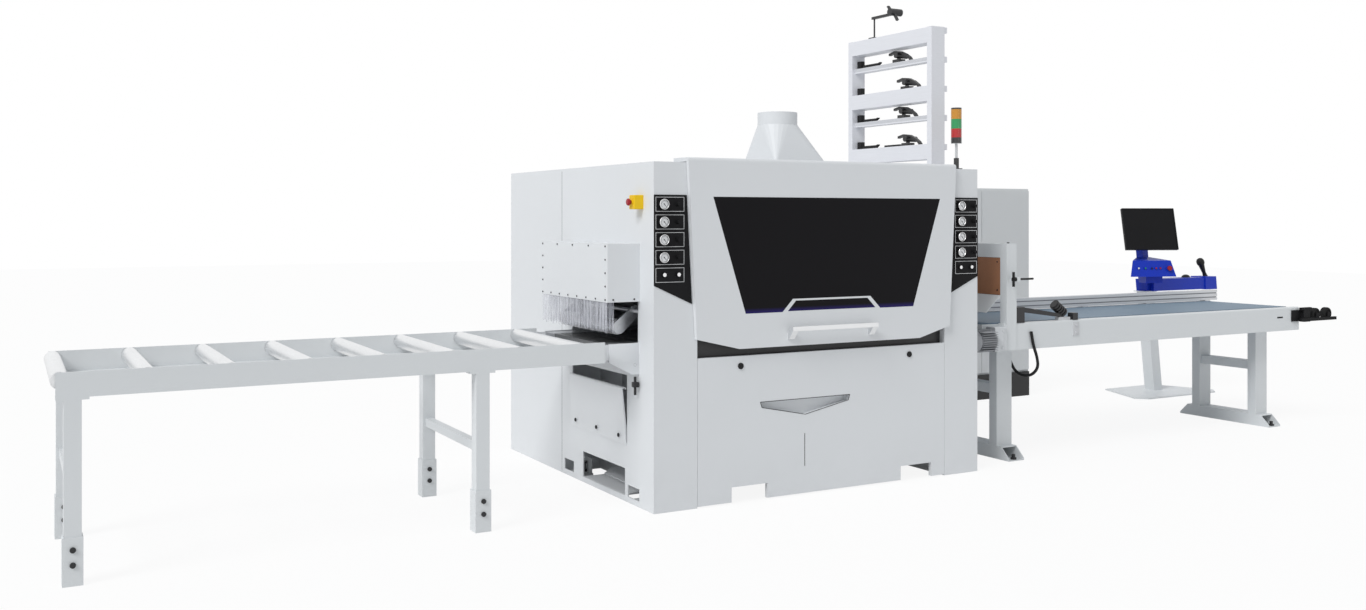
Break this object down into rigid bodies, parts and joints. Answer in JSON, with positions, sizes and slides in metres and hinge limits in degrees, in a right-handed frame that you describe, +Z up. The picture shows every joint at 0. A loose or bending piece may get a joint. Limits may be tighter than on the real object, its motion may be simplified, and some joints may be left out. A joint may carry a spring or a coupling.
{
  "type": "multi rip saw",
  "caption": "Multi-blade rip saw line: enclosed saw cabinet with lift-up front door, outfeed roller table, infeed belt table with fence, laser rack and operator console.",
  "frame": {"origin": "on the floor, in the middle of the four anchor holes of the saw's lower casing", "axes": "+X along the feed line towards the infeed end, +Y towards the back of the saw, +Z up"},
  "size_m": [10.291, 2.943, 3.209],
  "materials": {
    "cabinet_paint": "satin",
    "dark_paint": "matte",
    "blue_paint": "satin",
    "yellow_plastic": "matte",
    "red_plastic": "gloss",
    "tinted_window": "gloss",
    "black_plastic": "matte",
    "steel": "brushed",
    "zinc": "satin",
    "cast_bed": "machined",
    "profile": "satin",
    "belt": "matte",
    "board": "matte",
    "rubber": "matte",
    "grey_paint": "satin"
  },
  "bodies": {
    "machine": {"cable_conduits": "black_plastic", "console_housing": "blue_paint", "console_stand": "cabinet_paint", "curtain_strips": "rubber", "dust_hood": "zinc", "electrical_cabinet": "cabinet_paint", "end_wheel_arm": "dark_paint", "estop_box": "yellow_plastic", "feed_bed": "cast_bed", "fence_beam": "profile", "gauge_panels": "dark_paint", "gear_motor": "grey_paint", "infeed_belt": "belt", "infeed_frame": "cabinet_paint", "infeed_gantry": "cabinet_paint", "infeed_wall": "cabinet_paint", "laser_rack": "profile", "levelling_bolts": "steel", "lower_casing": "cabinet_paint", "outfeed_hood": "cabinet_paint", "outfeed_plates": "cabinet_paint", "outfeed_wall": "cabinet_paint", "rear_casing": "cabinet_paint", "roller_table_legs": "cabinet_paint", "roller_table_rails": "cabinet_paint", "saw_frame": "grey_paint", "side_guide": "black_plastic", "splinter_board": "board", "top_cover": "cabinet_paint", "tower_light": "grey_paint"},
    "front_door": {"upper_door": "cabinet_paint", "door_window": "tinted_window", "door_handle": "profile"},
    "service_panel": {"lower_panel": "cabinet_paint"},
    "latch_left": {"panel_latch_left": "black_plastic"},
    "latch_right": {"panel_latch_right": "black_plastic"},
    "emergency_button": {"estop_button": "red_plastic"},
    "press_arm": {"roller_arm": "steel"},
    "press_roller": {"outfeed_roller": "steel"},
    "arbor": {"saw_arbor": "steel"},
    "hold_down_roller": {"pressure_roller": "steel"},
    "conveyor_roller_1": {"table_roller_1": "zinc"},
    "conveyor_roller_2": {"table_roller_2": "zinc"},
    "conveyor_roller_3": {"table_roller_3": "zinc"},
    "conveyor_roller_4": {"table_roller_4": "zinc"},
    "conveyor_roller_5": {"table_roller_5": "zinc"},
    "conveyor_roller_6": {"table_roller_6": "zinc"},
    "conveyor_roller_7": {"table_roller_7": "zinc"},
    "conveyor_roller_8": {"table_roller_8": "zinc"},
    "clamp": {"clamp_handle": "black_plastic"},
    "wheel_1": {"end_wheel_1": "rubber"},
    "wheel_2": {"end_wheel_2": "rubber"},
    "laser_1": {"laser_carriage_1": "dark_paint"},
    "laser_2": {"laser_carriage_2": "dark_paint"},
    "laser_3": {"laser_carriage_3": "dark_paint"},
    "laser_4": {"laser_carriage_4": "dark_paint"},
    "laser_5": {"laser_carriage_5": "dark_paint"},
    "console_button": {"console_stop": "red_plastic"},
    "screen": {"monitor": "black_plastic"},
    "stick": {"joystick": "black_plastic"}
  },
  "joints": [
    {"name": "door_swing", "type": "hinge", "parent": "machine", "child": "front_door", "pos_m": [0, -0.555, 2.016], "axis": [-1, 0, 0], "range_deg": [0, 75]},
    {"name": "panel_lift", "type": "slide", "parent": "machine", "child": "service_panel", "axis": [0, -1, 0], "range_m": [0, 0.3]},
    {"name": "latch_left_turn", "type": "hinge", "parent": "service_panel", "child": "latch_left", "pos_m": [-0.634, -0.72, 0.806], "axis": [0, 1, 0], "range_deg": [0, 90]},
    {"name": "latch_right_turn", "type": "hinge", "parent": "service_panel", "child": "latch_right", "pos_m": [0.634, -0.72, 0.806], "axis": [0, 1, 0], "range_deg": [0, 90]},
    {"name": "estop_press", "type": "slide", "parent": "machine", "child": "emergency_button", "axis": [1, 0, 0], "range_m": [0, 0.006], "stiffness_N_per_m": 800},
    {"name": "arm_lift", "type": "hinge", "parent": "machine", "child": "press_arm", "pos_m": [-1.172, 0, 1.13], "axis": [0, 1, 0], "range_deg": [0, 20]},
    {"name": "press_roller_spin", "type": "hinge", "parent": "press_arm", "child": "press_roller", "pos_m": [-1.282, 0, 1.04], "axis": [0, 1, 0], "continuous": true},
    {"name": "arbor_spin", "type": "hinge", "parent": "machine", "child": "arbor", "pos_m": [0, 0, 1.12], "axis": [0, 1, 0], "continuous": true},
    {"name": "hold_down_spin", "type": "hinge", "parent": "machine", "child": "hold_down_roller", "pos_m": [0.35, 0, 1.03], "axis": [0, 1, 0], "continuous": true},
    {"name": "roller_1_spin", "type": "hinge", "parent": "machine", "child": "conveyor_roller_1", "pos_m": [-4.205, 0, 0.939], "axis": [0, 1, 0], "continuous": true},
    {"name": "roller_2_spin", "type": "hinge", "parent": "machine", "child": "conveyor_roller_2", "pos_m": [-3.83343, 0, 0.939], "axis": [0, 1, 0], "continuous": true},
    {"name": "roller_3_spin", "type": "hinge", "parent": "machine", "child": "conveyor_roller_3", "pos_m": [-3.46186, 0, 0.939], "axis": [0, 1, 0], "continuous": true},
    {"name": "roller_4_spin", "type": "hinge", "parent": "machine", "child": "conveyor_roller_4", "pos_m": [-3.09029, 0, 0.939], "axis": [0, 1, 0], "continuous": true},
    {"name": "roller_5_spin", "type": "hinge", "parent": "machine", "child": "conveyor_roller_5", "pos_m": [-2.71871, 0, 0.939], "axis": [0, 1, 0], "continuous": true},
    {"name": "roller_6_spin", "type": "hinge", "parent": "machine", "child": "conveyor_roller_6", "pos_m": [-2.34714, 0, 0.939], "axis": [0, 1, 0], "continuous": true},
    {"name": "roller_7_spin", "type": "hinge", "parent": "machine", "child": "conveyor_roller_7", "pos_m": [-1.97557, 0, 0.939], "axis": [0, 1, 0], "continuous": true},
    {"name": "roller_8_spin", "type": "hinge", "parent": "machine", "child": "conveyor_roller_8", "pos_m": [-1.604, 0, 0.939], "axis": [0, 1, 0], "continuous": true},
    {"name": "clamp_turn", "type": "hinge", "parent": "machine", "child": "clamp", "pos_m": [1.7, -0.678, 1.26], "axis": [1, 0, 0], "continuous": true},
    {"name": "wheel_1_spin", "type": "hinge", "parent": "machine", "child": "wheel_1", "pos_m": [4.948, -0.63, 0.889], "axis": [0, 1, 0], "continuous": true},
    {"name": "wheel_2_spin", "type": "hinge", "parent": "machine", "child": "wheel_2", "pos_m": [5.098, -0.63, 0.889], "axis": [0, 1, 0], "continuous": true},
    {"name": "laser_1_shift", "type": "slide", "parent": "machine", "child": "laser_1", "axis": [0, 1, 0], "range_m": [-0.1, 0.1]},
    {"name": "laser_2_shift", "type": "slide", "parent": "machine", "child": "laser_2", "axis": [0, 1, 0], "range_m": [-0.1, 0.1]},
    {"name": "laser_3_shift", "type": "slide", "parent": "machine", "child": "laser_3", "axis": [0, 1, 0], "range_m": [-0.1, 0.1]},
    {"name": "laser_4_shift", "type": "slide", "parent": "machine", "child": "laser_4", "axis": [0, 1, 0], "range_m": [-0.1, 0.1]},
    {"name": "laser_5_shift", "type": "slide", "parent": "machine", "child": "laser_5", "axis": [0, 1, 0], "range_m": [-0.1, 0.1]},
    {"name": "console_stop_press", "type": "slide", "parent": "machine", "child": "console_button", "axis": [0.3746, 0.9272, 0], "range_m": [0, 0.006], "stiffness_N_per_m": 800},
    {"name": "monitor_swivel", "type": "hinge", "parent": "machine", "child": "screen", "pos_m": [5.058, 1.205, 1.45], "axis": [0, 0, 1], "range_deg": [-45, 45]},
    {"name": "stick_tilt", "type": "hinge", "parent": "machine", "child": "stick", "pos_m": [5.982, 1.208, 1.1], "axis": [0, 1, 0], "range_deg": [-5, 45], "stiffness_Nm_per_rad": 20}
  ]
}
